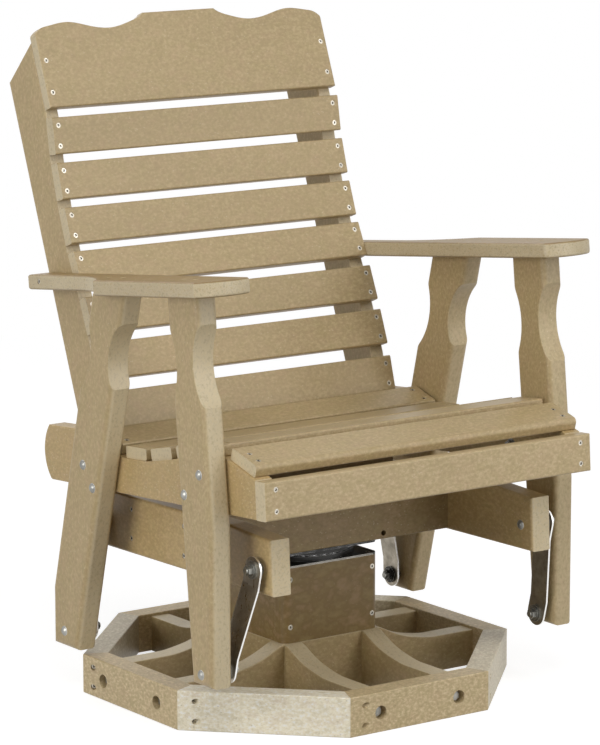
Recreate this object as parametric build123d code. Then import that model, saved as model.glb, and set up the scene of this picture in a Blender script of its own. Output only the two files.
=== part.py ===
from build123d import *
import math
import os

# Swivel glider armchair built from plastic lumber.
# Millimetres, +Z up. The chair faces -Y. Left and right are the sitter's: left is +X, right is -X.
# Places below are measured from the swivel axis at the floor. The finished pieces are written with
# the origin on the floor under the middle of the chair's length.

# Stock
thin_board = 19.0            # slats and crest
apron_board = 25.4           # apron
slat_width = 57.15           # seat slats
back_slat_width = 59.1
frame_board = 38.1           # glide rails, cross boards and ring
leg_thick = 38.1             # legs
side_board = 31.5            # seat side rails
stile_thick = 25.4           # back stiles and box panels
leg_round = 9.5              # rounded long edges of the legs
scallop_arris = 1.6          # softened edge of a scallop
rail_arris = 5.0             # rounded edge of the glide rails
arris = 4.0                  # rounded edge of arms and stiles
slat_arris = 3.0             # rounded edge of slats
ring_arris = 1.8             # softened edge of the ring and the spokes
overrun = 8.0                # how far a cutter runs past the face it cuts
hole_slack = 0.15            # gap round a screw or bolt that sits in a board

# Base ring and spokes
ring_across = 650.0          # across the flats of the octagon
ring_height = 63.5
ring_sides = 8
spoke_thick = 34.0
spoke_centre = 76.0          # centre lines of the crossed spokes
spoke_top = 91.5             # height under the box
spoke_under = 6.0            # the curve starts this far inside the box's face
spoke_end = 59.0             # height where it meets the ring
spoke_tail = 74.0            # level stretch before the ring
spoke_bends = ((172.0, 63.8), (146.0, 69.9), (109.0, 85.5))    # off the middle, height

# Box and swivel bearing
box_height = 122.0
box_corner = 14.0            # rounded upright corners
plate_side = 186.0
plate_corner = 14.0          # rounded like the box below
plate_thick = 3.0
bearing_outer = 89.0         # outer radius of the ball race
bearing_inner = 76.0
race_height = 7.8
ball_radius = 4.5
ball_count = 30
ball_slack = 0.15            # running gap between the balls and the grooves
king_radius = 8.0
king_slack = 0.08            # radial running clearance of the swivel axis
king_head = 13.0
king_head_height = 8.0

# Glide frame, which turns on the bearing
rail_clear = 42.0            # from a glide rail out to the leg, room for the links
rail_depth = 93.0
rail_front = 310.0           # ahead of the swivel axis
rail_rear = 200.0            # behind the swivel axis
rail_foot_level = 233.0      # height of its underside above the swivel axis
rail_pitch = 0.9             # degrees, rising to the front
rail_taper = 116.0           # length of the front end whose top slopes down
rail_taper_drop = 6.5
rail_end_rake = 3.0          # degrees, slant of the front end
cross_centre = 74.0          # a cross board each side of the axis
pin_hole = 4.7               # radius of the two small holes in the front cross board
pin_hole_x = 102.5
pin_hole_rise = 9.5

# Links. Pivots are given as distance behind the axis and height.
front_upper = (-279.5, 277.0)
front_lower = (-238.5, 115.0)
rear_upper = (154.5, 269.0)
rear_lower = (148.0, 102.5)
link_width = 40.0
link_thick = 3.0
link_flat = 27.0             # flat length past each pivot before the joggle
link_bend = 14.0             # bend radius of the joggle
pivot_radius = 4.76
pivot_slack = 0.08           # radial running clearance of a closed pivot
open_slack = 2.3             # radial clearance of the rear lower pivot
bearing_radius = 14.0        # flanges of the sealed bearing in each eye
bearing_body = 10.0          # its body inside the strap
bearing_width = 9.0
pivot_spacer = 7.0           # between a board and the bearing beside it
washer_radius = 10.5
washer_thick = 1.5
side_gap = 0.3               # between a bearing and a washer on another body
nut_flat = 14.3              # across the flats
nut_thick = 8.0
dome_radius = 8.0
dome_height = 4.2
thread_past = 3.0            # thread showing past a nut

# Legs, in the plane of the leg
front_leg_lean = 6.3         # degrees, top to the rear
front_leg_width = 81.5
front_leg_foot = 97.0        # height of its foot
front_leg_back = -213.0      # rear edge at the foot
front_leg_face = -268.5      # upright front edge below the knee
rear_leg_lean = 13.9         # degrees, top to the front
rear_leg_width = 88.9
rear_leg_foot = 76.5
rear_leg_front = 113.0       # front edge at the foot
rear_leg_face = 181.5        # upright rear edge below the knee
# Scallops: height of the two shoulders and depth between them
front_leg_rear_scallop = (522.0, 640.0, 17.0)
front_leg_front_scallop = (525.0, 649.0, 20.5)
rear_leg_front_scallop = (514.0, 620.0, 20.5)
rear_leg_rear_scallop = (497.0, 617.0, 21.0)
# Bolts through a leg and the seat rail: distance behind the axis, height
front_leg_bolts = ((-235.0, 422.8), (-195.1, 385.6))
rear_leg_bolts = ((88.0, 382.8), (61.3, 350.3))

# Seat
seat_half = 313.0            # outer face of the seat rails, which the legs are bolted to
seat_tilt = 3.8              # degrees, front higher
seat_rail_foot = (-330.6, 366.0)   # lower front corner of a seat rail
rail_nose = 58.8             # height of the front end
rail_tail_rise = 428.0       # top, just behind the slats
rail_tail_top = (248.6, 416.6)       # rear end of the top: behind the axis, height
rail_tail = (262.9, 376.0)   # rearmost point of the bowed rear end
rail_heel = 242.4            # where the bow meets the underside
rail_heel_round = 7.0
seat_gap = 15.3
seat_end_gap = 5.0           # slat ends stop short of the rail face
seat_rear_corner = (98.5, 417.2)
seat_slopes = (-16.8, 4.5, 12.6, 15.9, 6.1)   # degrees, front end up, rear slat first
front_slat_width = 66.0
front_slat_slope = -15.4
nose_round = 8.0
apron_height = 59.0

# Back
back_gaps = (20.3, 17.1, 17.7, 12.4, 13.4, 13.2, 15.9)   # above each slat, lowest first
back_foot = (112.1, 427.6)   # lower front corner of the lowest slat
back_leans = (15.8, 21.0, 23.2, 25.8, 20.1, 16.6, 9.8)   # degrees, lowest slat first
crest_lean = 21.0
crest_height = 147.0
crest_end_round = 5.0
# Top edge of the crest from the middle to the end: share of the half width, share of the height
crest_step_share = 0.249
crest_curve_shares = ((0.34, 0.915), (0.475, 0.857), (0.615, 0.886), (0.775, 0.949), (0.91, 0.915),
                      (1.0, 0.83))
stile_width = 88.9
stile_lift = 8.0             # foot of the stile above the underside of the seat rail
stile_top_front = 114.0      # from the foot of the crest up to the stile's front top corner
stile_top_drop = 46.0        # degrees below level, slant of the top cut
stile_screws = ((151.0, 402.0), (139.0, 364.0))   # into the seat rail: behind the axis, height

# Arms
arm_gap = 0.5                # between a stile and the arm beside it
arm_width = 97.0
arm_thick = 24.0
arm_tilt = 6.7               # degrees, front higher
arm_front = -264.0           # outer front corner
arm_front_top = 720.3        # height of the top there
arm_bow = 19.0               # how far the front end bows out
arm_side_end = 11.0          # end of the straight outer side
arm_tail_start = 148.0
arm_tail_end = 292.0
arm_tail_width = 39.5
arm_corner = 7.0             # inner front corner
arm_side_round = 5.0         # where the straight side meets the curve

# Screws
screw_head = 4.2
screw_head_height = 2.2
screw_sink = 0.9             # head below the board's face
screw_shank = 2.1
screw_length = 44.0
drive_side = 3.6
drive_depth = 1.4
edge_inset = 11.0            # from the end of a back slat to its screws
seat_screw_inset = 20.0      # from the outer face of a seat rail to its screws
seat_screw_length = 34.0
arm_screw_length = 60.0
slat_screw_shares = (0.22, 0.78)
front_slat_screw_shares = (0.37, 0.73)
crest_screw_shares = (0.17, 0.53)
apron_screw_shares = (0.23, 0.79)
leg_screw_shares = (0.3, 0.7)
tail_screw = (260.0, 648.0)  # behind the axis, height

# Ring fasteners
pocket_from_corner = 30.0
pocket_tilt = 50.0           # degrees from square to the face
pocket_radius = 4.8
pocket_depth = 9.0
pocket_shares = (0.236, 0.74)    # of the ring's height
pocket_length = 52.0
lag_share = 0.488            # of the ring's height
lag_bore = 11.0
lag_depth = 15.0
lag_radius = 4.9
lag_length = 75.0
lag_head_flat = 12.7
lag_head_height = 5.0
lag_washer = 9.5
box_screw_shares = (0.213, 0.844)    # of the box's height
rail_screw_shares = (0.215, 0.72)    # of the depth of a rail
long_screw = 82.0

# Worked out from the sizes above
box_half = spoke_centre + spoke_thick / 2
box_top = spoke_top + box_height
ring_half = ring_across / 2
ring_side = ring_across * math.tan(math.pi / ring_sides)
plate_top = box_top + plate_thick
ball_circle = (bearing_outer + bearing_inner) / 2
race_gap = ball_radius / 3
ball_level = plate_top + race_height + race_gap / 2
upper_race_top = ball_level + race_gap / 2 + race_height
cross_foot = upper_race_top + plate_thick
leg_inner = seat_half
leg_outer = leg_inner + leg_thick
rail_outer = leg_inner - rail_clear
rail_inner = rail_outer - frame_board
cross_half = rail_inner
seat_inner = seat_half - side_board
back_half = seat_inner       # outer face of the stiles and end of the back slats
stile_inner = back_half - stile_thick
arm_inner = back_half + arm_gap
arm_outer = arm_inner + arm_width
lag_height = lag_share * ring_height
upper_eye = rail_outer + pivot_spacer + side_gap + bearing_width / 2
lower_eye = leg_inner - pivot_spacer - side_gap - bearing_width / 2

nodes = {}


def tan(angle):
    return math.tan(math.radians(angle))


def sin(angle):
    return math.sin(math.radians(angle))


def cos(angle):
    return math.cos(math.radians(angle))


def save(name, *solids):
    """Keep one node, which may hold several separate solids."""
    nodes[name] = solids


def mirrored(shape):
    return mirror(shape, about=Plane.YZ)


def side_view(curves, inner, thick):
    """A board drawn in the YZ plane, from x = inner outwards."""
    return extrude(Plane.YZ.offset(inner) * make_face(Curve() + curves), thick)


def outline(points):
    """Straight sides through the points, closed."""
    closed = list(points) + [points[0]]
    return [Line(a, b) for a, b in zip(closed, closed[1:])]


def long_edges(solid, axis, skip=None):
    """Edges of the two faces square to the axis, but not those that skip names."""
    faces = solid.faces().filter_by(axis).sort_by(axis)
    edges = faces[0].edges() + faces[-1].edges()
    return [e for e in edges if skip is None or not skip(e)]


def cylinder_at(start, direction, radius, length):
    """A cylinder whose axis starts at a point and runs along a direction."""
    place = Plane(origin=start, z_dir=direction)
    return place * Cylinder(radius, length, align=(Align.CENTER, Align.CENTER, Align.MIN))


def hexagon_at(start, direction, flat, length):
    place = Plane(origin=start, z_dir=direction)
    return place * extrude(RegularPolygon(flat / 2, 6, major_radius=False), length)


def moved(point, direction, distance):
    return tuple(p + d * distance for p, d in zip(point, direction))


def unit(direction):
    size = math.sqrt(sum(d * d for d in direction))
    return tuple(d / size for d in direction)


def screw(face_point, direction, length=screw_length, sink=screw_sink):
    """A flat-headed screw driven from a point on a board's face, with a square drive."""
    way = unit(direction)
    top = moved(face_point, way, sink)
    head = cylinder_at(top, way, screw_head, screw_head_height)
    shank = cylinder_at(top, way, screw_shank, length)
    drive = Plane(origin=top, z_dir=way) * Box(drive_side, drive_side, 2 * drive_depth)
    return head + shank - drive


def screw_hole(face_point, direction, length=screw_length, sink=screw_sink):
    """What a screw cuts away, with a little slack round it."""
    way = unit(direction)
    start = moved(face_point, way, -overrun)
    recess = cylinder_at(start, way, screw_head + hole_slack, overrun + sink + screw_head_height + hole_slack)
    return recess + cylinder_at(start, way, screw_shank + hole_slack, overrun + sink + length + hole_slack)


def drilled(solid, holes):
    """Cut the holes that reach the solid."""
    box = solid.bounding_box()
    near = [h for h in holes if box.overlaps(h.bounding_box())]
    return solid - near if near else solid


def washer(start, direction, radius, thick, bore):
    return cylinder_at(start, direction, radius, thick) - cylinder_at(
        moved(start, direction, -overrun), direction, bore, thick + 2 * overrun)


def dome_bolt(start, direction, length):
    """A round-headed bolt: the head's flat lies on start, the shank runs along the direction."""
    ball = (dome_radius ** 2 + dome_height ** 2) / (2 * dome_height)
    place = Plane(origin=start, z_dir=direction)
    slab = Cylinder(dome_radius, dome_height, align=(Align.CENTER, Align.CENTER, Align.MAX))
    head = slab & (Pos(0, 0, ball - dome_height) * Sphere(ball))
    shank = Cylinder(pivot_radius, length, align=(Align.CENTER, Align.CENTER, Align.MIN))
    return place * (head + shank)


def nut(start, direction):
    """A flanged lock nut whose flange lies on start, bored for the bolt."""
    body = hexagon_at(start, direction, nut_flat, nut_thick)
    flange = cylinder_at(start, direction, washer_radius, washer_thick)
    bore = cylinder_at(moved(start, direction, -overrun), direction, pivot_radius + hole_slack,
                       nut_thick + 2 * overrun)
    return body + flange - bore


# Chains of slats

def chain(start, angles, width, gaps, last_angle):
    """Slats laid one after another. Each step is (first corner, far corner, angle)."""
    at = start
    steps = []
    for here, following, gap in zip(angles, angles[1:] + (last_angle,), gaps):
        far = (at[0] + width * sin(here), at[1] + width * cos(here))
        steps.append((at, far, here))
        middle = (here + following) / 2
        at = (far[0] + gap * sin(middle), far[1] + gap * cos(middle))
    return steps, at


def crossing(first, second):
    """Where two lines meet, each given by a point and its angle from upright."""
    (ay, az), a = first
    (by, bz), b = second
    step = ((by - ay) * cos(b) - (bz - az) * sin(b)) / (sin(a) * cos(b) - cos(a) * sin(b))
    return ay + step * sin(a), az + step * cos(a)


seat_angles = tuple(slope - 90 for slope in seat_slopes)
front_slat_angle = front_slat_slope - 90
back_steps, crest_foot = chain(back_foot, back_leans, back_slat_width, back_gaps, crest_lean)
seat_gaps = (seat_gap,) * len(seat_angles)
seat_steps, front_slat_corner = chain(seat_rear_corner, seat_angles, slat_width, seat_gaps, front_slat_angle)


def board_plane(corner, angle):
    """Plane on the face that a chain follows. Its Y runs along the chain and -Z into the board."""
    return Plane(origin=(0, corner[0], corner[1]), x_dir=(1, 0, 0), z_dir=(0, -cos(angle), sin(angle)))


def behind(corner, angle, depth):
    """A point of the plane moved square to the chain, to the board's far face."""
    return corner[0] + depth * cos(angle), corner[1] - depth * sin(angle)


def slat(corner, angle, width, half, nose=None):
    """A board with rounded long edges. nose is a larger radius for the far edge of the far face."""
    place = board_plane(corner, angle)
    block = Box(2 * half, width, thin_board, align=(Align.CENTER, Align.MIN, Align.MAX))
    edges = block.edges().filter_by(Axis.X)
    if nose:
        front = edges.sort_by(Axis.Y)[-2:].sort_by(Axis.Z)[0]
        block = fillet([e for e in edges if e != front], slat_arris)
        far = block.edges().filter_by(Axis.X).group_by(Axis.Z)[0].sort_by(Axis.Y)[-1]
        block = fillet(far, nose)
    else:
        block = fillet(edges, slat_arris)
    return place * block


def on_board(corner, angle, x, along, depth=0):
    """A point of a chain's board: across, along and into it."""
    y, z = behind((corner[0] + along * sin(angle), corner[1] + along * cos(angle)), angle, depth)
    return x, y, z


def both_sides(places):
    """The same places mirrored to the right side as well."""
    other = [((-x, y, z), (-u, v, w), *rest) for (x, y, z), (u, v, w), *rest in places]
    return list(places) + other


def make(places):
    return [screw(*p) for p in places]


def cut(places):
    return [screw_hole(*p) for p in places]


# Ring boards

def ring_board_blank():
    """The front board, with mitred ends and softened edges."""
    inner_side = ring_side - 2 * frame_board * math.tan(math.pi / ring_sides)
    outer = -ring_half
    inner = outer + frame_board
    shape = Polygon((-ring_side / 2, outer), (ring_side / 2, outer), (inner_side / 2, inner),
                    (-inner_side / 2, inner), align=None)
    board = extrude(shape, ring_height)
    return fillet(board.edges().filter_by(Axis.X), ring_arris)


def turned(shape, steps):
    return Rot(0, 0, steps * 360 / ring_sides) * shape


pocket_x = ring_side / 2 - pocket_from_corner
pocket_way = (-sin(pocket_tilt), cos(pocket_tilt), 0)


def pocket_places():
    return [(-pocket_x, -ring_half, share * ring_height) for share in pocket_shares]


def pocket_screw(place):
    return screw(place, pocket_way, pocket_length, pocket_depth)


def pocket_cut(place):
    recess = cylinder_at(moved(place, pocket_way, -2 * overrun), pocket_way, pocket_radius,
                         2 * overrun + pocket_depth + screw_head_height + hole_slack)
    return recess + screw_hole(place, pocket_way, pocket_length, pocket_depth)


def lag_bolt(x):
    """A hexagon-headed lag bolt with its washer, square to the front board."""
    floor = (x, -ring_half + lag_depth, lag_height)
    way = (0, 1, 0)
    plate = washer(floor, (0, -1, 0), lag_washer, washer_thick, lag_radius + hole_slack)
    seat = moved(floor, way, -washer_thick)
    bolt = hexagon_at(seat, (0, -1, 0), lag_head_flat, lag_head_height)
    bolt += cylinder_at(seat, way, lag_radius, lag_length)
    return [bolt, plate]


def lag_cut(x):
    floor = (x, -ring_half + lag_depth, lag_height)
    way = (0, 1, 0)
    bore = cylinder_at(moved(floor, way, -lag_depth - overrun), way, lag_bore, lag_depth + overrun)
    return bore + cylinder_at(floor, way, lag_radius + hole_slack, lag_length)


ring_names = ("front", "front_left", "left", "rear_left", "rear", "rear_right", "right", "front_right")
pocket_cuts = [pocket_cut(p) for p in pocket_places()]
plain_board = ring_board_blank() - pocket_cuts - [turned(c, 1) for c in pocket_cuts]
bolted_board = plain_board - [lag_cut(-spoke_centre), lag_cut(spoke_centre)]
for turn, ring_name in enumerate(ring_names):
    save(f"ring_board_{ring_name}", turned(plain_board if turn % 2 else bolted_board, turn))
front_pockets = [pocket_screw(p) for p in pocket_places()]
save("ring_screws", *[turned(s, turn) for turn in range(ring_sides) for s in front_pockets])
front_lags = lag_bolt(-spoke_centre) + lag_bolt(spoke_centre)
save("spoke_lag_bolts", *[turned(b, turn) for turn in range(0, ring_sides, 2) for b in front_lags])


# Crossed spokes

def spoke(lap_from, lap_to):
    """One spoke along Y over the middle, with lap joints cut between two heights."""
    reach = ring_half - frame_board
    low = (reach - spoke_tail, spoke_end)
    level = (box_half - spoke_under, spoke_top)
    half = [Line((0, 0), (reach, 0)), Line((reach, 0), (reach, spoke_end)),
            Line((reach, spoke_end), low), Spline(low, *spoke_bends, level, tangents=[(-1, 0), (-1, 0)]),
            Line(level, (0, spoke_top))]
    face = make_face(Curve() + half + [Line((0, spoke_top), (0, 0))])
    side = extrude(Plane.YZ.offset(-spoke_thick / 2) * face, spoke_thick)
    beam = side + mirror(side, about=Plane.XZ)
    top = [e for e in long_edges(beam, Axis.X) if e.center().Z > spoke_end / 2 and e.length > spoke_end]
    beam = fillet(top, ring_arris)
    notch = Box(spoke_thick + 2 * overrun, spoke_thick, lap_to - lap_from,
                align=(Align.CENTER, Align.CENTER, Align.MIN))
    return beam - [Pos(0, y, lap_from) * notch for y in (-spoke_centre, spoke_centre)]


lap = spoke_top / 2
lag_holes = [turned(lag_cut(x), turn) for turn in range(0, ring_sides, 2)
             for x in (-spoke_centre, spoke_centre)]
fore_aft = spoke(lap, spoke_top + overrun)
crosswise = Rot(0, 0, 90) * spoke(-overrun, lap)
save("spoke_left", drilled(Pos(spoke_centre, 0, 0) * fore_aft, lag_holes))
save("spoke_right", drilled(Pos(-spoke_centre, 0, 0) * fore_aft, lag_holes))
save("spoke_front", drilled(Pos(0, -spoke_centre, 0) * crosswise, lag_holes))
save("spoke_rear", drilled(Pos(0, spoke_centre, 0) * crosswise, lag_holes))


# Box that lifts the bearing

box_edge = box_half - stile_thick / 2
box_screw_places = [((x, side * box_half, spoke_top + share * box_height), (0, -side, 0))
                    for side in (-1, 1) for x in (-box_edge, box_edge) for share in box_screw_shares]
plate_screw_places = [((x, y, plate_top), (0, 0, -1), screw_length, hole_slack)
                      for x in (-box_edge, box_edge) for y in (-box_edge, box_edge)]
box_cuts = cut(box_screw_places) + cut(plate_screw_places)
panel = Box(2 * box_half, stile_thick, box_height, align=(Align.CENTER, Align.MIN, Align.MIN))
corners = panel.edges().filter_by(Axis.Z).group_by(Axis.Y)[0]
panel = Pos(0, -box_half, spoke_top) * fillet(corners, box_corner)
side_panel = Box(stile_thick, 2 * (box_half - stile_thick), box_height,
                 align=(Align.MAX, Align.CENTER, Align.MIN))
side_panel = Pos(box_half, 0, spoke_top) * side_panel
save("box_panel_front", drilled(panel, box_cuts))
save("box_panel_rear", drilled(mirror(panel, about=Plane.XZ), box_cuts))
save("box_panel_left", drilled(side_panel, box_cuts))
save("box_panel_right", drilled(mirrored(side_panel), box_cuts))
save("box_screws", *make(box_screw_places), *make(plate_screw_places))


# Swivel bearing

def swivel_plate(foot, up):
    """A square plate with a grooved race on one side; up is 1 for the lower and -1 for the upper."""
    sheet = Box(plate_side, plate_side, plate_thick, align=(Align.CENTER, Align.CENTER, Align.MIN))
    sheet = Pos(0, 0, foot) * fillet(sheet.edges().filter_by(Axis.Z), plate_corner)
    face = foot + plate_thick if up > 0 else foot
    start = (0, 0, face)
    race = cylinder_at(start, (0, 0, up), bearing_outer, race_height)
    race -= cylinder_at(start, (0, 0, up), bearing_inner, race_height + overrun)
    groove = Pos(0, 0, ball_level) * Torus(ball_circle, ball_radius + ball_slack)
    return sheet + race - groove


lower_plate = swivel_plate(box_top, 1)
lower_plate -= cylinder_at((0, 0, box_top - overrun), (0, 0, 1), king_radius + hole_slack, 2 * overrun)
save("swivel_plate_lower", drilled(lower_plate, cut(plate_screw_places)))

cross_screw_places = [((x, y, cross_foot - plate_thick), (0, 0, 1), screw_length, hole_slack)
                      for x in (-box_edge, box_edge) for y in (-cross_centre, cross_centre)]
cross_cuts = cut(cross_screw_places)
upper_plate = swivel_plate(cross_foot - plate_thick, -1)
upper_plate -= cylinder_at((0, 0, upper_race_top - overrun), (0, 0, 1), king_radius + king_slack, 2 * overrun)
save("swivel_plate_upper", drilled(upper_plate, cross_cuts))

balls = [Rot(0, 0, n * 360 / ball_count) * (Pos(ball_circle, 0, ball_level) * Sphere(ball_radius))
         for n in range(ball_count)]
save("bearing_balls", *balls)

king_nut_foot = cross_foot + side_gap
king_top = king_nut_foot + king_head_height
king_bolt = hexagon_at((0, 0, box_top), (0, 0, -1), 2 * king_head, king_head_height)
king_bolt += cylinder_at((0, 0, box_top), (0, 0, 1), king_radius, king_top + thread_past - box_top)
king_nut = hexagon_at((0, 0, king_nut_foot), (0, 0, 1), 2 * king_head, king_head_height)
king_nut -= cylinder_at((0, 0, king_nut_foot - overrun), (0, 0, 1), king_radius + hole_slack, 3 * overrun)
save("king_bolt", king_bolt, king_nut)


# Glide frame

def glide_rail():
    """The left rail, with rounded edges and its two pivot holes."""
    def under(y):
        return rail_foot_level - y * tan(rail_pitch)

    top = rail_depth / cos(rail_pitch)
    front = -rail_front
    rake = rail_depth * tan(rail_end_rake)
    bend = front + rail_taper
    corners = [(front, under(front)), (rail_rear, under(rail_rear)), (rail_rear, under(rail_rear) + top),
               (bend, under(bend) + top), (front + rake, under(front + rake) + top - rail_taper_drop)]
    board = side_view(outline(corners), rail_inner, frame_board)
    board = fillet(long_edges(board, Axis.X), rail_arris)
    for y, z in (front_upper, rear_upper):
        board -= cylinder_at((rail_inner - overrun, y, z), (1, 0, 0), pivot_radius + hole_slack,
                             frame_board + 2 * overrun)
    return board


rail_screw_places = [((rail_outer, y, cross_foot + share * rail_depth), (-1, 0, 0), long_screw)
                     for y in (-cross_centre, cross_centre) for share in rail_screw_shares]
rail_cuts = cut(both_sides(rail_screw_places))
left_rail = drilled(glide_rail(), rail_cuts)
save("glide_rail_left", left_rail)
save("glide_rail_right", mirrored(left_rail))

cross_board = Box(2 * cross_half, frame_board, rail_depth, align=(Align.CENTER, Align.CENTER, Align.MIN))
cross_board = fillet(cross_board.edges().filter_by(Axis.X), ring_arris)
front_cross = Pos(0, -cross_centre, cross_foot) * cross_board
for x in (-pin_hole_x, pin_hole_x):
    start = (x, -cross_centre - frame_board, cross_foot + pin_hole_rise)
    front_cross -= cylinder_at(start, (0, 1, 0), pin_hole, 2 * frame_board)
save("cross_board_front", drilled(front_cross, rail_cuts + cross_cuts))
save("cross_board_rear", drilled(Pos(0, cross_centre, cross_foot) * cross_board, rail_cuts + cross_cuts))
save("glide_frame_screws", *make(both_sides(rail_screw_places)), *make(cross_screw_places))

upper_nut_face = upper_eye + bearing_width / 2 + side_gap
upper_bolts = []
upper_nuts = []
for y, z in (front_upper, rear_upper):
    reach = upper_nut_face + nut_thick + thread_past - rail_inner
    upper_bolts.append(dome_bolt((rail_inner, y, z), (1, 0, 0), reach))
    upper_nuts.append(nut((upper_nut_face, y, z), (1, 0, 0)))
    spacer = washer((rail_outer, y, z), (1, 0, 0), washer_radius, pivot_spacer, pivot_radius + hole_slack)
    upper_nuts.append(spacer)
save("upper_pivot_bolts", *upper_bolts, *[mirrored(b) for b in upper_bolts])
save("upper_pivot_nuts", *upper_nuts, *[mirrored(b) for b in upper_nuts])


# Links

def link(upper, lower):
    """A steel strap with rounded ends, stepped out from the rail to the leg."""
    span = math.dist(upper, lower)
    way = ((lower[0] - upper[0]) / span, (lower[1] - upper[1]) / span)
    place = Plane(origin=(0, upper[0], upper[1]), x_dir=(0, way[0], way[1]), z_dir=(0, way[1], -way[0]))
    end = link_width / 2
    half = link_thick / 2
    route = [(-end, upper_eye), (link_flat, upper_eye), (span - link_flat, lower_eye),
             (span + end, lower_eye)]
    inner = [(s, x - half) for s, x in route]
    outer = [(s, x + half) for s, x in route]
    curves = [FilletPolyline(inner, radius=link_bend), Line(inner[-1], outer[-1]),
              FilletPolyline(outer, radius=link_bend), Line(outer[0], inner[0])]
    sheet = extrude(make_face(Curve() + curves), end, both=True)
    eye = Rot(90, 0, 0) * Cylinder(end, 2 * lower_eye, align=(Align.CENTER, Align.CENTER, Align.MAX))
    bar = Box(span, 2 * lower_eye, link_width, align=(Align.MIN, Align.MIN, Align.CENTER))
    strap = sheet & (bar + eye + Pos(span, 0, 0) * eye)
    bore = Rot(90, 0, 0) * Cylinder(bearing_body + hole_slack, 2 * lower_eye,
                                    align=(Align.CENTER, Align.CENTER, Align.MAX))
    return place * (strap - bore - Pos(span, 0, 0) * bore)


def eye_bearing(x, pivot, slack):
    """A sealed bearing whose flanges hold the strap between them."""
    start = (x - bearing_width / 2, *pivot)
    way = (1, 0, 0)
    slot = (x - link_thick / 2, *pivot)
    body = cylinder_at(start, way, bearing_radius, bearing_width)
    groove = cylinder_at(slot, way, bearing_radius + overrun, link_thick)
    groove -= cylinder_at(moved(slot, way, -overrun), way, bearing_body, link_thick + 2 * overrun)
    bore = cylinder_at(moved(start, way, -overrun), way, pivot_radius + slack, bearing_width + 2 * overrun)
    return body - groove - bore


for link_name, upper, lower, slack in (("front", front_upper, front_lower, pivot_slack),
                                       ("rear", rear_upper, rear_lower, open_slack)):
    strap = link(upper, lower)
    save(f"{link_name}_link_left", strap)
    save(f"{link_name}_link_right", mirrored(strap))
    bearings = [eye_bearing(upper_eye, upper, pivot_slack), eye_bearing(lower_eye, lower, slack)]
    save(f"{link_name}_link_bearings", *bearings, *[mirrored(b) for b in bearings])


# Arms

arm_plane = Plane(origin=(0, arm_front, arm_front_top), x_dir=(1, 0, 0),
                  z_dir=(0, sin(arm_tilt), cos(arm_tilt)))
arm_back = (arm_front + arm_thick * -sin(arm_tilt), arm_front_top - arm_thick * cos(arm_tilt))
arm_under = (arm_back, 90 + arm_tilt)


def under_arm(y):
    """Height of the arm's underside."""
    return arm_back[1] - (y - arm_back[0]) * tan(arm_tilt)


def arm():
    """The left arm: wide and bowed at the front, drawn in to a narrow tail beside the stile."""
    def along(y):
        return (y - arm_front) / cos(arm_tilt)

    tail = arm_inner + arm_tail_width
    middle = (arm_inner + arm_outer) / 2
    side_end = (arm_outer, along(arm_side_end))
    neck = (tail, along(arm_tail_start))
    inner_front = -arm_bow / 3
    curves = [Line((arm_inner, inner_front), (arm_inner, along(arm_tail_end))),
              Line((arm_inner, along(arm_tail_end)), (tail, along(arm_tail_end))),
              Line((tail, along(arm_tail_end)), neck),
              TangentArc(neck, side_end, tangent=(0, -1)),
              Line(side_end, (arm_outer, 0)),
              ThreePointArc((arm_outer, 0), (middle, -arm_bow), (arm_inner, inner_front))]
    face = make_face(Curve() + curves)
    front_corner = face.vertices().group_by(Axis.X)[0].sort_by(Axis.Y)[0]
    face = fillet(front_corner, arm_corner)
    face = fillet(face.vertices().sort_by_distance((*side_end, 0))[0], arm_side_round)
    board = extrude(face, -arm_thick)
    return arm_plane * fillet(long_edges(board, Axis.Z), arris)


# Legs

def leg(foot_y, foot_z, lean, width, face_y, straight_scallop, knee_scallop):
    """A left leg. One edge is straight from foot to arm, the other ends in an upright face below a knee."""
    toward = 1 if face_y > foot_y else -1
    across = toward * width / cos(lean)

    def edge(z, shift=0):
        return foot_y + (z - foot_z) * tan(lean) + shift, z

    def scallop(low_high_depth, shift, inward):
        """A round cutter through the two shoulders."""
        low, high, depth = low_high_depth
        bottom = edge(low, shift)
        top = edge(high, shift)
        half_chord = math.dist(bottom, top) / 2
        radius = (half_chord ** 2 + depth ** 2) / (2 * depth)
        set_back = -inward * (radius - depth)
        centre = ((bottom[0] + top[0]) / 2 + set_back * cos(lean), (low + high) / 2 - set_back * sin(lean))
        return cylinder_at((leg_inner - overrun, *centre), (1, 0, 0), radius, leg_thick + 2 * overrun)

    def at_top(edge_of):
        centre = edge_of.center()
        return centre.Z > under_arm(centre.Y) - hole_slack

    s_top = crossing((edge(foot_z), lean), arm_under)
    k_top = crossing((edge(foot_z, across), lean), arm_under)
    knee = (face_y, foot_z + (face_y - foot_y - across) / tan(lean))
    corners = [edge(foot_z), s_top, k_top, knee, (face_y, foot_z)]
    board = side_view(outline(corners), leg_inner, leg_thick)
    board = fillet(long_edges(board, Axis.X, at_top), leg_round)
    board -= [scallop(straight_scallop, 0, toward), scallop(knee_scallop, across, -toward)]
    round_edges = [e for e in long_edges(board, Axis.X) if e.geom_type == GeomType.CIRCLE]
    arcs = [e for e in round_edges if e.length > 2 * leg_thick]
    return fillet(arcs, scallop_arris), (s_top, k_top)


front_leg, front_top = leg(front_leg_back, front_leg_foot, front_leg_lean, front_leg_width, front_leg_face,
                           front_leg_rear_scallop, front_leg_front_scallop)
rear_leg, rear_top = leg(rear_leg_front, rear_leg_foot, -rear_leg_lean, rear_leg_width, rear_leg_face,
                         rear_leg_front_scallop, rear_leg_rear_scallop)


# Seat side rails

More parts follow.
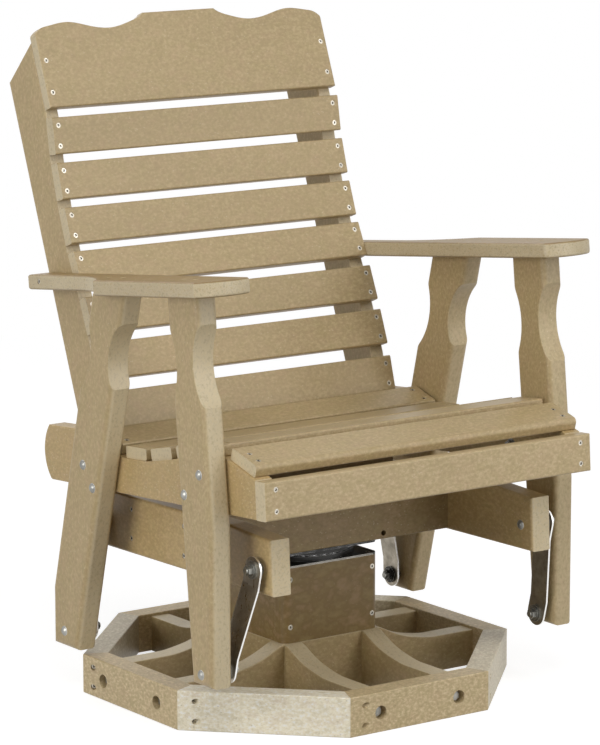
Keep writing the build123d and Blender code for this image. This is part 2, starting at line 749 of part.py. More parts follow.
def seat_rail():
    """The left seat rail. Its top follows the undersides of the slats, so the seat is dished."""
    def under(y):
        return seat_rail_foot[1] - (y - seat_rail_foot[0]) * tan(seat_tilt)

    nose = crossing((seat_rail_foot, seat_tilt), (front_slat_corner, front_slat_angle))
    top = [nose, front_slat_corner]
    for corner, far, _ in reversed(seat_steps):
        top += [far, corner]
    rise = (seat_rear_corner[0] + seat_gap, rail_tail_rise)
    heel = (rail_heel, under(rail_heel))
    path = [seat_rail_foot] + top + [rise, rail_tail_top]
    curves = [Line(a, b) for a, b in zip(path, path[1:])]
    curves += [ThreePointArc(rail_tail_top, rail_tail, heel), Line(heel, seat_rail_foot)]
    board = side_view(curves, seat_inner, side_board)
    rear_corners = board.edges().filter_by(Axis.X).sort_by(Axis.Y)[-2:].sort_by(Axis.Z)
    board = fillet(rear_corners[:1], rail_heel_round)
    lower = [e for e in long_edges(board, Axis.X) if e.length > rail_nose]
    return fillet(lower, ring_arris)


# Back stiles

def stile():
    """The left stile. Its front edge has a facet for each back slat; its rear edge is straight."""
    facets = [(behind(corner, angle, thin_board), angle) for corner, _, angle in back_steps]
    crest_back = behind(crest_foot, crest_lean, thin_board)
    facets.append((crest_back, crest_lean))
    front = [crossing(a, b) for a, b in zip(facets, facets[1:])]
    rear = (behind(crest_back, crest_lean, stile_width), crest_lean)
    under = ((seat_rail_foot[0], seat_rail_foot[1] + stile_lift), 90 + seat_tilt)
    top = (crest_back[0] + stile_top_front * sin(crest_lean),
           crest_back[1] + stile_top_front * cos(crest_lean))
    corners = [crossing(facets[0], under)] + front + [top, crossing((top, 90 + stile_top_drop), rear),
                                                      crossing(rear, under)]
    board = side_view(outline(corners), stile_inner, stile_thick)
    rear_edges = [e for e in long_edges(board, Axis.X) if e.center().Y > crossing(rear, under)[0]
                  and e.length > stile_width + overrun]
    return board, rear_edges


def crest():
    """The top board of the back, with a scrolled upper edge."""
    def half_outline():
        step = (crest_step_share * back_half, crest_height)
        curve = [(a * back_half, b * crest_height) for a, b in crest_curve_shares]
        return [Line((0, 0), (back_half, 0)), Line((back_half, 0), curve[-1]),
                Spline(step, *curve, tangents=[(1, -1), (1, -1)]), Line(step, (0, crest_height)),
                Line((0, crest_height), (0, 0))]

    half = extrude(make_face(Curve() + half_outline()), -thin_board)
    end_corner = half.edges().filter_by(Axis.Z).group_by(Axis.X)[-1].sort_by(Axis.Y)[-1]
    half = fillet(end_corner, crest_end_round)
    board = half + mirror(half, about=Plane.YZ)
    return board_plane(crest_foot, crest_lean) * fillet(long_edges(board, Axis.Z), slat_arris)


# Screws and bolts of the seat

back_screws = []
for corner, far, angle in back_steps:
    for share in slat_screw_shares:
        place = on_board(corner, angle, back_half - edge_inset, share * back_slat_width)
        back_screws.append((place, (0, cos(angle), -sin(angle))))
for share in crest_screw_shares:
    place = on_board(crest_foot, crest_lean, back_half - edge_inset, share * crest_height)
    back_screws.append((place, (0, cos(crest_lean), -sin(crest_lean))))

seat_boards = [(corner, angle, slat_width, slat_screw_shares) for corner, far, angle in seat_steps]
seat_boards.append((front_slat_corner, front_slat_angle, front_slat_width, front_slat_screw_shares))
seat_screws = []
for corner, angle, width, shares in seat_boards:
    for share in shares:
        place = on_board(corner, angle, seat_half - seat_screw_inset, share * width, thin_board)
        seat_screws.append((place, (0, -cos(angle), sin(angle)), seat_screw_length))

apron_place = behind(seat_rail_foot, seat_tilt, -apron_board)
apron_screws = [(on_board(apron_place, seat_tilt, seat_half - seat_screw_inset, share * apron_height),
                 (0, cos(seat_tilt), -sin(seat_tilt))) for share in apron_screw_shares]

arm_down = (0, -sin(arm_tilt), -cos(arm_tilt))
arm_screws = []
for a, b in (front_top, rear_top):
    for share in leg_screw_shares:
        at = (leg_inner + leg_thick / 2, a[0] + share * (b[0] - a[0]), a[1] + share * (b[1] - a[1]))
        arm_screws.append((moved(at, arm_down, -arm_thick), arm_down, arm_screw_length))
arm_screws.append(((arm_inner + arm_tail_width, *tail_screw), (-1, 0, 0), arm_screw_length))
stile_places = [((stile_inner, y, z), (1, 0, 0)) for y, z in stile_screws]

seat_places = both_sides(back_screws + seat_screws + apron_screws + arm_screws + stile_places)
seat_cuts = cut(seat_places)
left_cuts = [c for c in seat_cuts if c.center().X > 0]


def through(points, radius):
    """Holes across the left leg and seat rail."""
    length = leg_outer - stile_inner + overrun
    return [cylinder_at((stile_inner, y, z), (1, 0, 0), radius, length) for y, z in points]


bolt_cuts = through(front_leg_bolts + rear_leg_bolts + (front_lower, rear_lower), pivot_radius + hole_slack)
leg_bolts = []
leg_nuts = []
for y, z in front_leg_bolts + rear_leg_bolts:
    reach = leg_outer - seat_inner + nut_thick + thread_past
    leg_bolts.append(dome_bolt((leg_outer, y, z), (-1, 0, 0), reach))
    leg_nuts.append(nut((seat_inner, y, z), (-1, 0, 0)))
lower_nut_face = lower_eye - bearing_width / 2 - side_gap
for y, z in (front_lower, rear_lower):
    reach = leg_outer - lower_nut_face + nut_thick + thread_past
    leg_bolts.append(dome_bolt((leg_outer, y, z), (-1, 0, 0), reach))
    leg_nuts.append(nut((lower_nut_face, y, z), (-1, 0, 0)))
    spacer = washer((leg_inner, y, z), (-1, 0, 0), washer_radius, pivot_spacer, pivot_radius + hole_slack)
    leg_nuts.append(spacer)
save("leg_bolts", *leg_bolts, *[mirrored(b) for b in leg_bolts])
save("leg_nuts", *leg_nuts, *[mirrored(n) for n in leg_nuts])
save("seat_screws", *make(seat_places))

stile_board, stile_rear = stile()
for name, board in (("front_leg", front_leg), ("rear_leg", rear_leg), ("arm", arm()),
                    ("seat_rail", seat_rail()), ("back_stile", fillet(stile_rear, arris))):
    board = drilled(board, left_cuts + bolt_cuts)
    save(f"{name}_left", board)
    save(f"{name}_right", mirrored(board))

for number, (corner, far, angle) in enumerate(back_steps, start=1):
    save(f"back_slat_{number}", drilled(slat(corner, angle, back_slat_width, back_half), seat_cuts))
save("back_crest", drilled(crest(), seat_cuts))

slats = [slat(corner, angle, slat_width, seat_half - seat_end_gap) for corner, far, angle in seat_steps]
save("seat_slats", *[drilled(s, seat_cuts) for s in slats])
front_slat = slat(front_slat_corner, front_slat_angle, front_slat_width, seat_half - seat_end_gap, nose_round)
save("seat_front_slat", drilled(front_slat, seat_cuts))

apron = Box(2 * seat_half, apron_height, apron_board, align=(Align.CENTER, Align.MIN, Align.MAX))
front_edges = apron.faces().sort_by(Axis.Z)[-1].edges().filter_by(Axis.Y)
apron = fillet(apron.edges().filter_by(Axis.X) + front_edges, slat_arris)
save("apron", drilled(board_plane(apron_place, seat_tilt) * apron, seat_cuts))


# Written with the origin under the middle of the length, from the apron's face to the stiles

foremost = nodes["apron"][0].bounding_box().min.Y
rearmost = nodes["back_stile_left"][0].bounding_box().max.Y
to_middle = Pos(0, -(foremost + rearmost) / 2, 0)
os.makedirs("parts", exist_ok=True)
for node_name, pieces in nodes.items():
    placed = [to_middle * piece for piece in pieces]
    export_step(placed[0] if len(placed) == 1 else Compound(children=placed), f"parts/{node_name}.step")
print("swivel axis behind the origin:", to_middle.position.Y)
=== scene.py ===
import math

import bpy
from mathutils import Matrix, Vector

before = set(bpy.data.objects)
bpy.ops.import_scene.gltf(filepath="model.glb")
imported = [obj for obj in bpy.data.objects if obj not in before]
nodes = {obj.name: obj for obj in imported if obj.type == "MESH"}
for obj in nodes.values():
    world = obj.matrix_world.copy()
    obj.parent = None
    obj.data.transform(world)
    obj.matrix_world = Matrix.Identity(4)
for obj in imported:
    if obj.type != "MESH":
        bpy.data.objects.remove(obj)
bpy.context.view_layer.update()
scene = bpy.context.scene

# Camera, at the photograph's place. The picture is 600 x 745 and the sensor spans its long side.
CAMERA_PLACE = (-3.41625, -4.77971, 1.60249)
CAMERA_AZIMUTH = -35.741
CAMERA_ELEVATION = 10.621
FOCAL_PIXELS = 3735.6
PICTURE_LONG_SIDE = 745
SENSOR = 36.0
SIGHT_END = 100

camera = bpy.data.objects.new("camera", bpy.data.cameras.new("camera"))
camera.data.sensor_width = SENSOR
camera.data.lens = FOCAL_PIXELS / PICTURE_LONG_SIDE * SENSOR
camera.location = CAMERA_PLACE
camera.rotation_euler = (math.radians(90 - CAMERA_ELEVATION), 0, math.radians(CAMERA_AZIMUTH))
camera.data.clip_end = SIGHT_END
scene.collection.objects.link(camera)
scene.camera = camera

# Node helpers

EDGE_SAMPLES = 4
EDGE_SPAN = (0.98, 0.65)


class Nodes:
    """Short calls for building the node tree of a material or a world."""

    def __init__(self, owner, output="ShaderNodeOutputMaterial"):
        self.owner = owner
        owner.use_nodes = True
        self.tree = owner.node_tree
        self.tree.nodes.clear()
        self.out = self.add(output)

    def add(self, kind, **settings):
        node = self.tree.nodes.new(kind)
        for key, value in settings.items():
            setattr(node, key, value)
        return node

    def link(self, source, target):
        self.tree.links.new(source, target)

    def feed(self, socket, value):
        """Link another socket in, or set a plain number or a colour of three numbers."""
        if isinstance(value, bpy.types.NodeSocket):
            self.link(value, socket)
        elif isinstance(value, tuple):
            socket.default_value = (*value, 1.0)
        else:
            socket.default_value = value

    def mapped(self, turn=(0, 0, 0), scale=(1, 1, 1)):
        """The piece's own coordinates, turned and stretched."""
        coords = self.add("ShaderNodeTexCoord")
        turned = self.add("ShaderNodeMapping", vector_type="TEXTURE")
        turned.inputs["Rotation"].default_value = turn
        self.link(coords.outputs["Object"], turned.inputs["Vector"])
        stretched = self.add("ShaderNodeMapping")
        stretched.inputs["Scale"].default_value = scale
        self.link(turned.outputs["Vector"], stretched.inputs["Vector"])
        return stretched.outputs["Vector"]

    def facing(self, axis):
        """How far a face looks along one of the piece's own axes, either way."""
        coords = self.add("ShaderNodeTexCoord")
        split = self.add("ShaderNodeSeparateXYZ")
        self.link(coords.outputs["Normal"], split.inputs["Vector"])
        return self.math("ABSOLUTE", split.outputs[axis])

    def noise(self, vector, scale, detail, roughness):
        node = self.add("ShaderNodeTexNoise")
        self.link(vector, node.inputs["Vector"])
        node.inputs["Scale"].default_value = scale
        node.inputs["Detail"].default_value = detail
        node.inputs["Roughness"].default_value = roughness
        return node.outputs["Fac"]

    def spots(self, vector, scale):
        """Distance to the nearest of many scattered points, and a random colour for each."""
        node = self.add("ShaderNodeTexVoronoi")
        self.link(vector, node.inputs["Vector"])
        node.inputs["Scale"].default_value = scale
        return node.outputs["Distance"], node.outputs["Color"]

    def span(self, value, low, high, to_low=0.0, to_high=1.0, smooth=False):
        """Turn the values from low to high into those from to_low to to_high, and hold at both ends."""
        node = self.add("ShaderNodeMapRange", interpolation_type="SMOOTHSTEP" if smooth else "LINEAR")
        self.link(value, node.inputs["Value"])
        for name, number in (("From Min", low), ("From Max", high), ("To Min", to_low), ("To Max", to_high)):
            node.inputs[name].default_value = number
        return node.outputs["Result"]

    def math(self, operation, a, b=0.0):
        node = self.add("ShaderNodeMath", operation=operation)
        for socket, value in zip(node.inputs, (a, b)):
            self.feed(socket, value)
        return node.outputs["Value"]

    def mix(self, factor, a, b, blend="MIX"):
        """Mix two colours. Each may be a socket or three numbers."""
        node = self.add("ShaderNodeMix", data_type="RGBA", blend_type=blend)
        sockets = {s.identifier: s for s in node.inputs}
        for name, value in (("Factor_Float", factor), ("A_Color", a), ("B_Color", b)):
            self.feed(sockets[name], value)
        return {s.identifier: s for s in node.outputs}["Result_Color"]

    def edge(self, radius):
        """1 along the edges of a piece and 0 on its flats."""
        bevel = self.add("ShaderNodeBevel", samples=EDGE_SAMPLES)
        bevel.inputs["Radius"].default_value = radius
        plain = self.add("ShaderNodeNewGeometry")
        dot = self.add("ShaderNodeVectorMath", operation="DOT_PRODUCT")
        self.link(bevel.outputs["Normal"], dot.inputs[0])
        self.link(plain.outputs["Normal"], dot.inputs[1])
        return self.span(dot.outputs["Value"], *EDGE_SPAN)

    def bump(self, height, strength, distance):
        node = self.add("ShaderNodeBump")
        node.inputs["Strength"].default_value = strength
        node.inputs["Distance"].default_value = distance
        self.link(height, node.inputs["Height"])
        return node.outputs["Normal"]

    def seen(self):
        """1 for camera and glossy rays, and 0 for the rays that light the chair."""
        path = self.add("ShaderNodeLightPath")
        return self.math("MAXIMUM", path.outputs["Is Camera Ray"], path.outputs["Is Glossy Ray"])

    def shader(self, **values):
        node = self.add("ShaderNodeBsdfPrincipled")
        for name, value in values.items():
            self.feed(node.inputs[name.replace("_", " ")], value)
        self.link(node.outputs["BSDF"], self.out.inputs["Surface"])


def srgb(red, green, blue):
    """A colour given as in a picture, 0 to 255, in the linear values that shaders use."""
    def linear(value):
        share = value / 255
        return share / 12.92 if share <= 0.04045 else ((share + 0.055) / 1.055) ** 2.4

    return linear(red), linear(green), linear(blue)


# Plastic lumber: colours

BOARD = srgb(179, 157, 115)
PALER = (1.34, 1.42, 1.6)
DEEPER = (0.66, 0.63, 0.56)
BOARD_PINK = srgb(186, 156, 122)
BOARD_OLIVE = srgb(166, 150, 100)
FLECK_DARK = srgb(124, 104, 70)
FLECK_PALE = srgb(222, 208, 178)
SAWN = srgb(212, 198, 166)
# Pale colour of the painted highlight along the edges of the boards
ARRIS_HIGHLIGHT = srgb(210, 196, 164)
LENGTHWISE_TONE = srgb(184, 158, 110)
ARM_TONE = srgb(138, 112, 66)
APRON_TONE = srgb(190, 168, 127)
# The cross board's darker tone is painted shade, where it sits behind the apron and under the seat
CROSS_TONE_WITH_SHADE = srgb(140, 118, 78)
SPOKE_TONE = srgb(168, 146, 104)
# The box's dark tone is partly its own darker plastic and partly painted shade from the seat above it
BOX_TONE_WITH_SHADE = srgb(122, 98, 52)
RING_TONE = srgb(198, 177, 136)
# The diagonal boards of the ring are paler. The front-right one, which faces the lamps, is far paler, and
# that extra paleness is a painted highlight.
RING_DIAGONAL_TONES_WITH_HIGHLIGHT = {"front_right": srgb(252, 243, 218), "front_left": srgb(212, 200, 172),
              "rear_right": srgb(200, 188, 162), "rear_left": srgb(212, 200, 172)}

# Noises of the boards: scale, detail and roughness. The stretches are along the board.
CLOUDS = (11.0, 3.0, 0.55)
TINGE = (62.0, 2.0, 0.5)
ARRIS_HIGHLIGHT_PATCHES = (120.0, 3.0, 0.7)
MOTTLE = (230.0, 3.0, 0.6)
GRAIN = (1000.0, 2.0, 0.6)
SPOT_SCALE = 300.0
CLOUD_STRETCH = (0.3, 1, 1)
FLECK_STRETCH = (0.7, 1, 1)

# How the noises turn into colour. A span is two values of a noise, and a pair after it is what
# these become. Shares called MOST are for a fleck of 1.
CLOUD_SPAN = (0.3, 0.7)
CLOUD_SHARE = (0.74, 1.0)
PINK_SPAN = (0.52, 0.72)
OLIVE_SPAN = (0.48, 0.28)
TINGE_SHARE = (0.0, 0.3)
CUT_LEAST = 0.7
PALE_SPAN = (0.5, 0.7)
PALE_MOST = 0.5
DEEP_SPAN = (0.5, 0.3)
DEEP_MOST = 0.4
SPOT_SPAN = (0.38, 0.14)
DARK_SPOTS = (0.90, 0.95)
DARK_SPOTS_MOST = 0.22
PALE_SPOTS = (0.88, 0.95)
PALE_SPOTS_MOST = 0.4
TONE_SHARE = (0.96, 1.03)
# Painted highlight along the edges of the boards: its reach, then the span and share of its pale patches
ARRIS_HIGHLIGHT_REACH = 0.0022
ARRIS_HIGHLIGHT_SPAN = (0.35, 0.62)
ARRIS_HIGHLIGHT_SHARE = (0.05, 0.4)

# Gloss and relief of the boards
BOARD_ROUGH = 0.44
ROUGH_SPAN = (0.25, 0.75)
ROUGH_LESS = 0.07
ROUGH_MORE = 0.09
ARRIS_HIGHLIGHT_ROUGH = 0.12
MOTTLE_HEIGHT = 0.7
GRAIN_HEIGHT = 0.35
BOARD_BUMP = (0.25, 0.0005)

# Cut, pale faces: the axis and how far a face looks along it where the cut starts and where it is
# full. With the larger number first, the faces across that axis are the cut ones.
ENDS_X = ("X", 0.7, 0.95)
ENDS_Y = ("Y", 0.7, 0.95)
TOPS = ("Z", 0.5, 0.9)
OUTLINE_OF_ARM = ("Z", 0.75, 0.35)
OUTLINE_OF_LEG = ("X", 0.75, 0.35)
CUT_SHARE = 0.94
UPRIGHT_CUT = 0.8
# The left legs' cut faces are less pale: painted shade on the side away from the key lamp
UPRIGHT_SHADED_LEFT_CUT = 0.3

BOX_FLECK = 0.3
BOX_ROUGH = 0.42
RING_FLECK = 1.5


def shaded(colour, shares):
    """A colour with each channel multiplied by its share."""
    return tuple(min(channel * share, 1.0) for channel, share in zip(colour, shares))


def board_material(name, turn, base=BOARD, fleck=1.0, rough=BOARD_ROUGH, sawn=None, cut_share=CUT_SHARE):
    """Plastic lumber. Its flecks run along the board, whose own X axis is turned by these angles.
    fleck is the strength of its flecks, sawn says which faces are cut and pale, and cut_share how pale."""
    n = Nodes(bpy.data.materials.new(name))
    pale_base, deep_base = shaded(base, PALER), shaded(base, DEEPER)
    along = n.mapped(turn, FLECK_STRETCH)
    info = n.add("ShaderNodeObjectInfo")
    clouds = n.noise(n.mapped(turn, CLOUD_STRETCH), *CLOUDS)
    mottle = n.noise(along, *MOTTLE)
    grain = n.noise(along, *GRAIN)
    tinge = n.noise(along, *TINGE)
    colour = n.mix(n.span(clouds, *CLOUD_SPAN, *CLOUD_SHARE), deep_base, base)
    colour = n.mix(n.span(tinge, *PINK_SPAN, *TINGE_SHARE), colour, BOARD_PINK)
    colour = n.mix(n.span(tinge, *OLIVE_SPAN, *TINGE_SHARE), colour, BOARD_OLIVE)
    if sawn:
        axis, start, full = sawn
        patchy = n.span(clouds, *CLOUD_SPAN, CUT_LEAST * cut_share, cut_share)
        cut = n.math("MULTIPLY", n.span(n.facing(axis), start, full), patchy)
        colour = n.mix(cut, colour, SAWN)
    colour = n.mix(n.span(mottle, *PALE_SPAN, 0.0, PALE_MOST * fleck), colour, pale_base)
    colour = n.mix(n.span(mottle, *DEEP_SPAN, 0.0, DEEP_MOST * fleck), colour, deep_base)
    near, tint = n.spots(along, SPOT_SCALE)
    channels = n.add("ShaderNodeSeparateColor")
    n.link(tint, channels.inputs["Color"])
    spot = n.span(near, *SPOT_SPAN)
    dark_share = n.span(channels.outputs["Red"], *DARK_SPOTS, 0.0, DARK_SPOTS_MOST * fleck)
    pale_share = n.span(channels.outputs["Green"], *PALE_SPOTS, 0.0, PALE_SPOTS_MOST * fleck)
    colour = n.mix(n.math("MULTIPLY", spot, dark_share), colour, FLECK_DARK)
    colour = n.mix(n.math("MULTIPLY", spot, pale_share), colour, FLECK_PALE)
    tone = n.span(info.outputs["Random"], 0.0, 1.0, *TONE_SHARE)
    shade = n.add("ShaderNodeCombineColor")
    for channel in ("Red", "Green", "Blue"):
        n.link(tone, shade.inputs[channel])
    colour = n.mix(1.0, colour, shade.outputs["Color"], "MULTIPLY")
    # Painted highlight: pale patches along the edges, which also make the edges a little rougher
    arris_highlight = n.math("MULTIPLY", n.edge(ARRIS_HIGHLIGHT_REACH), n.span(n.noise(along, *ARRIS_HIGHLIGHT_PATCHES), *ARRIS_HIGHLIGHT_SPAN, *ARRIS_HIGHLIGHT_SHARE))
    colour = n.mix(arris_highlight, colour, ARRIS_HIGHLIGHT)
    mottled_rough = n.span(mottle, *ROUGH_SPAN, rough - ROUGH_LESS, rough + ROUGH_MORE)
    roughness = n.math("ADD", mottled_rough, n.math("MULTIPLY", arris_highlight, ARRIS_HIGHLIGHT_ROUGH))
    height = n.math("ADD", n.math("MULTIPLY", mottle, MOTTLE_HEIGHT), n.math("MULTIPLY", grain, GRAIN_HEIGHT))
    n.shader(Base_Color=colour, Roughness=roughness, Normal=n.bump(height, *BOARD_BUMP))
    return n.owner


ACROSS = (0, 0, 0)
LENGTHWISE = (0, 0, math.pi / 2)
UPRIGHT = (0, math.pi / 2, 0)
across = board_material("board_across", ACROSS, sawn=ENDS_X)
lengthwise = board_material("board_lengthwise", LENGTHWISE, LENGTHWISE_TONE, sawn=ENDS_Y)
arm_board = board_material("board_arm", LENGTHWISE, ARM_TONE, sawn=OUTLINE_OF_ARM)
apron_board = board_material("board_apron", ACROSS, APRON_TONE, sawn=ENDS_X)
cross_board = board_material("board_cross", ACROSS, CROSS_TONE_WITH_SHADE)
spoke_y = board_material("board_spoke_lengthwise", LENGTHWISE, SPOKE_TONE, sawn=TOPS)
spoke_x = board_material("board_spoke_across", ACROSS, SPOKE_TONE, sawn=TOPS)
upright = board_material("board_upright", UPRIGHT, sawn=OUTLINE_OF_LEG, cut_share=UPRIGHT_CUT)
# A shaded copy of the upright material for the left legs, with painted shade on their cut faces
upright_shaded_left = board_material("board_upright_left", UPRIGHT, sawn=OUTLINE_OF_LEG, cut_share=UPRIGHT_SHADED_LEFT_CUT)
box_plain = board_material("box_board", ACROSS, BOX_TONE_WITH_SHADE, BOX_FLECK, BOX_ROUGH)

# Steel. Noises are again scale, detail and roughness, and a pair after a span is what it becomes.

HAZE = (70.0, 4.0, 0.6)
FINE = (900.0, 2.0, 0.5)
PAINT = srgb(20, 19, 17)
PAINT_PALE = srgb(34, 32, 28)
PAINT_WORN = srgb(190, 190, 188)
PAINT_SPAN = (0.3, 0.7)
WORN_REACH = 0.0016
WORN_SPAN = (0.38, 0.55)
PAINT_METALLIC = (0.1, 1.0)
PAINT_ROUGH_SPAN = (0.2, 0.8)
PAINT_ROUGH = (0.28, 0.5)
PAINT_BUMP = (0.12, 0.0002)

BRUSHING = (420.0, 3.0, 0.65)
PATCHES = (55.0, 4.0, 0.6)
STEEL_SPAN = (0.3, 0.7)
# Painted highlight along the edges of bare steel and on a strap's narrow faces
STEEL_EDGE_HIGHLIGHT = srgb(240, 239, 236)
STEEL_EDGE_HIGHLIGHT_REACH = 0.0008
STEEL_EDGE_HIGHLIGHT_SHARE = 0.8
RIM_HIGHLIGHT_SPAN = (0.4, 0.2)
# Painted shade in the hollow of a screw's drive, found by ambient occlusion
PIT_SHADE = srgb(46, 38, 28)
PIT_SHADE_SAMPLES = 8
PIT_SHADE_SPAN = (0.97, 0.8)
BRUSHED_SMOOTHER = 0.07
BRUSHED_ROUGHER = 0.1
PATCH_ROUGH = (0.06, -0.05)
STEEL_BUMP = (0.15, 0.0002)
STRAP_LINES = (1.0, 1.0, 0.12)
# Reach of the painted shade in a screw's drive
SCREW_PIT_SHADE_REACH = 0.0016

# Dark and bright tone of each bare steel
STRAP_TONES = (srgb(132, 125, 112), srgb(176, 168, 154))
ZINC_TONES = (srgb(114, 114, 110), srgb(164, 163, 157))
# A darker copy of the zinc: painted shade for the rear lower pivots
SHADED_ZINC_TONES = (srgb(40, 39, 37), srgb(74, 72, 68))
# Paler steel for the lower plate's edge faces: a painted highlight along that edge
PLATE_EDGE_HIGHLIGHT_TONES = (srgb(112, 109, 102), srgb(150, 146, 138))
SCREW_TONES = (srgb(168, 162, 148), srgb(216, 210, 196))
BALL_TONES = (srgb(190, 190, 192), srgb(224, 224, 226))


def black_steel():
    """Black paint, worn to bright steel along the edges."""
    n = Nodes(bpy.data.materials.new("black_steel"))
    place = n.mapped()
    haze = n.noise(place, *HAZE)
    worn = n.math("MULTIPLY", n.edge(WORN_REACH), n.span(haze, *WORN_SPAN))
    colour = n.mix(n.span(haze, *PAINT_SPAN), PAINT, PAINT_PALE)
    colour = n.mix(worn, colour, PAINT_WORN)
    metallic = n.span(worn, 0.0, 1.0, *PAINT_METALLIC)
    roughness = n.span(haze, *PAINT_ROUGH_SPAN, *PAINT_ROUGH)
    normal = n.bump(n.noise(place, *FINE), *PAINT_BUMP)
    n.shader(Base_Color=colour, Metallic=metallic, Roughness=roughness, Normal=normal)
    return n.owner


def bare_steel(name, dark, bright, rough, lines=(1.0, 1.0, 1.0), rim_highlight=False, pit_shade_reach=0.0):
    """Steel with fine rubbing lines, dull patches and a painted highlight along its edges. A strap can also
    get a painted highlight on its narrow faces, and a screw a painted shade in the hollow of its drive."""
    n = Nodes(bpy.data.materials.new(name))
    brushed = n.noise(n.mapped(scale=lines), *BRUSHING)
    patches = n.noise(n.mapped(), *PATCHES)
    colour = n.mix(n.span(patches, *STEEL_SPAN), dark, bright)
    # Painted highlight along the edges of the steel
    colour = n.mix(n.math("MULTIPLY", n.edge(STEEL_EDGE_HIGHLIGHT_REACH), STEEL_EDGE_HIGHLIGHT_SHARE), colour, STEEL_EDGE_HIGHLIGHT)
    if rim_highlight:
        # Painted highlight on a strap's narrow faces, those that look across its own X axis
        colour = n.mix(n.span(n.facing("X"), *RIM_HIGHLIGHT_SPAN), colour, STEEL_EDGE_HIGHLIGHT)
    if pit_shade_reach:
        # Painted shade: the hollow of a screw's drive turns dark where its walls are close
        drive_shade = n.add("ShaderNodeAmbientOcclusion", only_local=True, samples=PIT_SHADE_SAMPLES)
        drive_shade.inputs["Distance"].default_value = pit_shade_reach
        colour = n.mix(n.span(drive_shade.outputs["AO"], *PIT_SHADE_SPAN), colour, PIT_SHADE)
    brushed_rough = n.span(brushed, *STEEL_SPAN, rough - BRUSHED_SMOOTHER, rough + BRUSHED_ROUGHER)
    roughness = n.math("ADD", brushed_rough, n.span(patches, *STEEL_SPAN, *PATCH_ROUGH))
    n.shader(Base_Color=colour, Metallic=1.0, Roughness=roughness, Normal=n.bump(brushed, *STEEL_BUMP))
    return n.owner


black = black_steel()
strap = bare_steel("strap_steel", *STRAP_TONES, rough=0.32, lines=STRAP_LINES, rim_highlight=True)
zinc = bare_steel("zinc_steel", *ZINC_TONES, rough=0.36)
shaded_zinc = bare_steel("shaded_zinc_steel", *SHADED_ZINC_TONES, rough=0.32)
plate_edge_highlight = bare_steel("plate_edge_steel", *PLATE_EDGE_HIGHLIGHT_TONES, rough=0.34)
screw_metal = bare_steel("screw_steel", *SCREW_TONES, rough=0.4, pit_shade_reach=SCREW_PIT_SHADE_REACH)
balls = bare_steel("ball_steel", *BALL_TONES, rough=0.16)

# Which piece gets which material

RING = "ring_board_"
RING_ANGLES = {"front": 0, "front_left": 45, "left": 90, "rear_left": 135,
               "rear": 0, "rear_right": 45, "right": 90, "front_right": 135}


def ring_material(side):
    """Each board of the ring has its own direction and tone. The front-right board's far paler tone is a
    painted highlight where it faces the lamps.
    """
    turn = (0, 0, math.radians(RING_ANGLES[side]))
    return board_material(f"board_ring_{side}", turn, RING_DIAGONAL_TONES_WITH_HIGHLIGHT.get(side, RING_TONE), RING_FLECK)


def material_of(node_name):
    """The material of a piece, by its name."""
    if node_name.startswith(RING):
        return ring_material(node_name.removeprefix(RING))
    if node_name.startswith("box_panel"):
        return box_plain
    if node_name.startswith("swivel_plate"):
        return black
    if node_name in ("front_link_left", "front_link_right", "rear_link_left", "rear_link_right"):
        return strap
    if node_name == "bearing_balls":
        return balls
    if node_name.endswith(("_bolts", "_nuts", "_bearings")) or node_name == "king_bolt":
        return zinc
    if node_name.endswith("screws"):
        return screw_metal
    # The left legs take the shaded copy, with painted shade on their cut faces
    if node_name in ("front_leg_left", "rear_leg_left"):
        return upright_shaded_left
    if "leg" in node_name or "stile" in node_name:
        return upright
    if node_name.startswith("arm"):
        return arm_board
    if node_name == "apron":
        return apron_board
    if node_name.startswith("cross_board"):
        return cross_board
    if node_name in ("spoke_left", "spoke_right"):
        return spoke_y
    if node_name in ("spoke_front", "spoke_rear"):
        return spoke_x
    if node_name.startswith(("seat_rail", "glide_rail")):
        return lengthwise
    return across


def paint(node_name, material):
    """Give a piece one material all over."""
    node = nodes[node_name]
    node.data.materials.clear()
    node.data.materials.append(material)
    for face in node.data.polygons:
        face.material_index = 0


def paint_part(node_name, material, chosen):
    """Give the faces whose centre is chosen a second material."""
    node = nodes[node_name]
    node.data.materials.append(material)
    for face in node.data.polygons:
        if chosen(node.matrix_world @ face.center):
            face.material_index = len(node.data.materials) - 1


for node_name in nodes:
    paint(node_name, material_of(node_name))

# The nuts and bearings of the rear lower pivots get a darker copy of the zinc as painted shade, and the edge
# faces of the lower plate get a paler steel as a painted highlight along that edge
REAR_PIVOT_FROM = 0.08
PIVOT_BELOW = 0.16
PLATE_REACH = 0.0925
SWIVEL_AXIS_Y = -0.02654
for node_name in ("leg_nuts", "rear_link_bearings"):
    paint_part(node_name, shaded_zinc, lambda p: p.y > REAR_PIVOT_FROM and p.z < PIVOT_BELOW)
# Painted highlight: the lower plate's edge faces in paler steel
paint_part("swivel_plate_lower", plate_edge_highlight, lambda p: max(abs(p.x), abs(p.y - SWIVEL_AXIS_Y)) > PLATE_REACH)

# Floor. Its glow is added for camera and glossy rays only, so that it shows as white, and between
# the distances NEAR and FAR from the chair it fades to plain white. It lies just under the feet.

FLOOR_REACH = 60.0
FLOOR_DROP = 0.0005
FLOOR_TONE = 0.45
FLOOR_GLOW = 0.76
NEAR = 1.3
FAR = 3.2

corners = [(x * FLOOR_REACH, y * FLOOR_REACH, 0) for x, y in ((-1, -1), (1, -1), (1, 1), (-1, 1))]
floor_mesh = bpy.data.meshes.new("floor")
floor_mesh.from_pydata(corners, [], [(0, 1, 2, 3)])
floor = bpy.data.objects.new("floor", floor_mesh)
floor.location.z = -FLOOR_DROP
scene.collection.objects.link(floor)

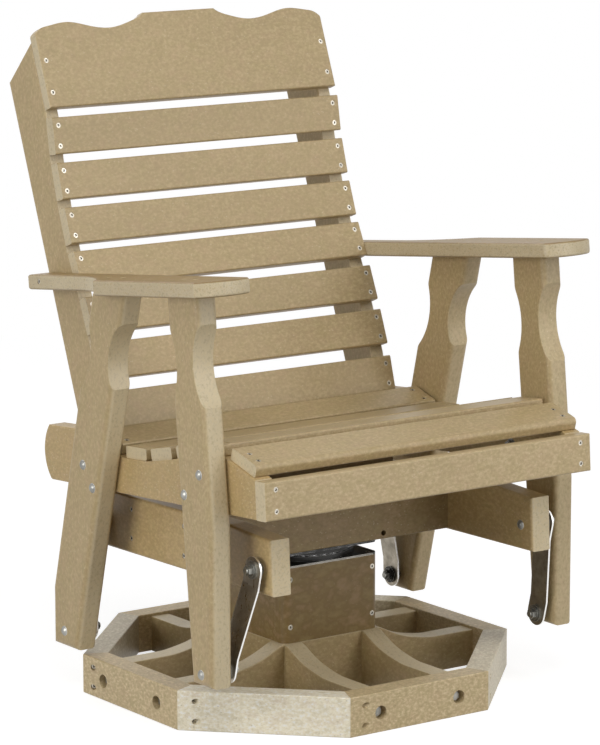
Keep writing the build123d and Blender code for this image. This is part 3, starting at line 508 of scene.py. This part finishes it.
f = Nodes(bpy.data.materials.new("floor"))
diffuse = f.add("ShaderNodeBsdfDiffuse")
f.feed(diffuse.inputs["Color"], (FLOOR_TONE, FLOOR_TONE, FLOOR_TONE))
seen = f.seen()
glow = f.add("ShaderNodeEmission")
f.link(f.math("MULTIPLY", seen, FLOOR_GLOW), glow.inputs["Strength"])
lit = f.add("ShaderNodeAddShader")
f.link(diffuse.outputs["BSDF"], lit.inputs[0])
f.link(glow.outputs["Emission"], lit.inputs[1])
place = f.add("ShaderNodeNewGeometry")
away = f.add("ShaderNodeVectorMath", operation="LENGTH")
f.link(place.outputs["Position"], away.inputs[0])
white = f.add("ShaderNodeEmission")
fade = f.add("ShaderNodeMixShader")
f.link(f.math("MULTIPLY", seen, f.span(away.outputs["Value"], NEAR, FAR, smooth=True)), fade.inputs["Fac"])
f.link(lit.outputs["Shader"], fade.inputs[1])
f.link(white.outputs["Emission"], fade.inputs[2])
f.link(fade.outputs["Shader"], f.out.inputs["Surface"])
floor_mesh.materials.append(f.owner)

# World: white where it is seen, and a weak light on the chair

WORLD_LIGHT = 0.11

world = Nodes(bpy.data.worlds.new("studio"), "ShaderNodeOutputWorld")
scene.world = world.owner
sky = world.add("ShaderNodeBackground")
world.feed(sky.inputs["Color"], (1.0, 1.0, 1.0))
world.link(world.span(world.seen(), 0.0, 1.0, WORLD_LIGHT, 1.0), sky.inputs["Strength"])
world.link(sky.outputs["Background"], world.out.inputs["Surface"])

# Lamps: the direction of each from the chair, in degrees round it and up, and its power

LAMP_DISTANCE = 4.6
LAMP_SIDE = 2.4
LAMP_AIM = Vector((0, 0, 0.5))
LAMPS = {
    "key": (-36, 48, 58),
    "side": (-85, 12, 86),
    "low": (25, 15, 60),
    "fill": (25, 48, 44),
    "back": (180, 45, 62),
}


def soft_box(name, azimuth, elevation, power):
    """A square lamp that looks at the chair."""
    round_it, up = math.radians(azimuth), math.radians(elevation)
    way = Vector((math.sin(round_it) * math.cos(up), -math.cos(round_it) * math.cos(up), math.sin(up)))
    light = bpy.data.objects.new(name, bpy.data.lights.new(name, "AREA"))
    light.data.shape = "SQUARE"
    light.data.size = LAMP_SIDE
    light.data.energy = power
    light.location = LAMP_AIM + way * LAMP_DISTANCE
    light.rotation_euler = way.to_track_quat("Z", "Y").to_euler()
    scene.collection.objects.link(light)


for lamp, (azimuth, elevation, power) in LAMPS.items():
    soft_box(lamp, azimuth, elevation, power)

scene.view_settings.view_transform = "Standard"
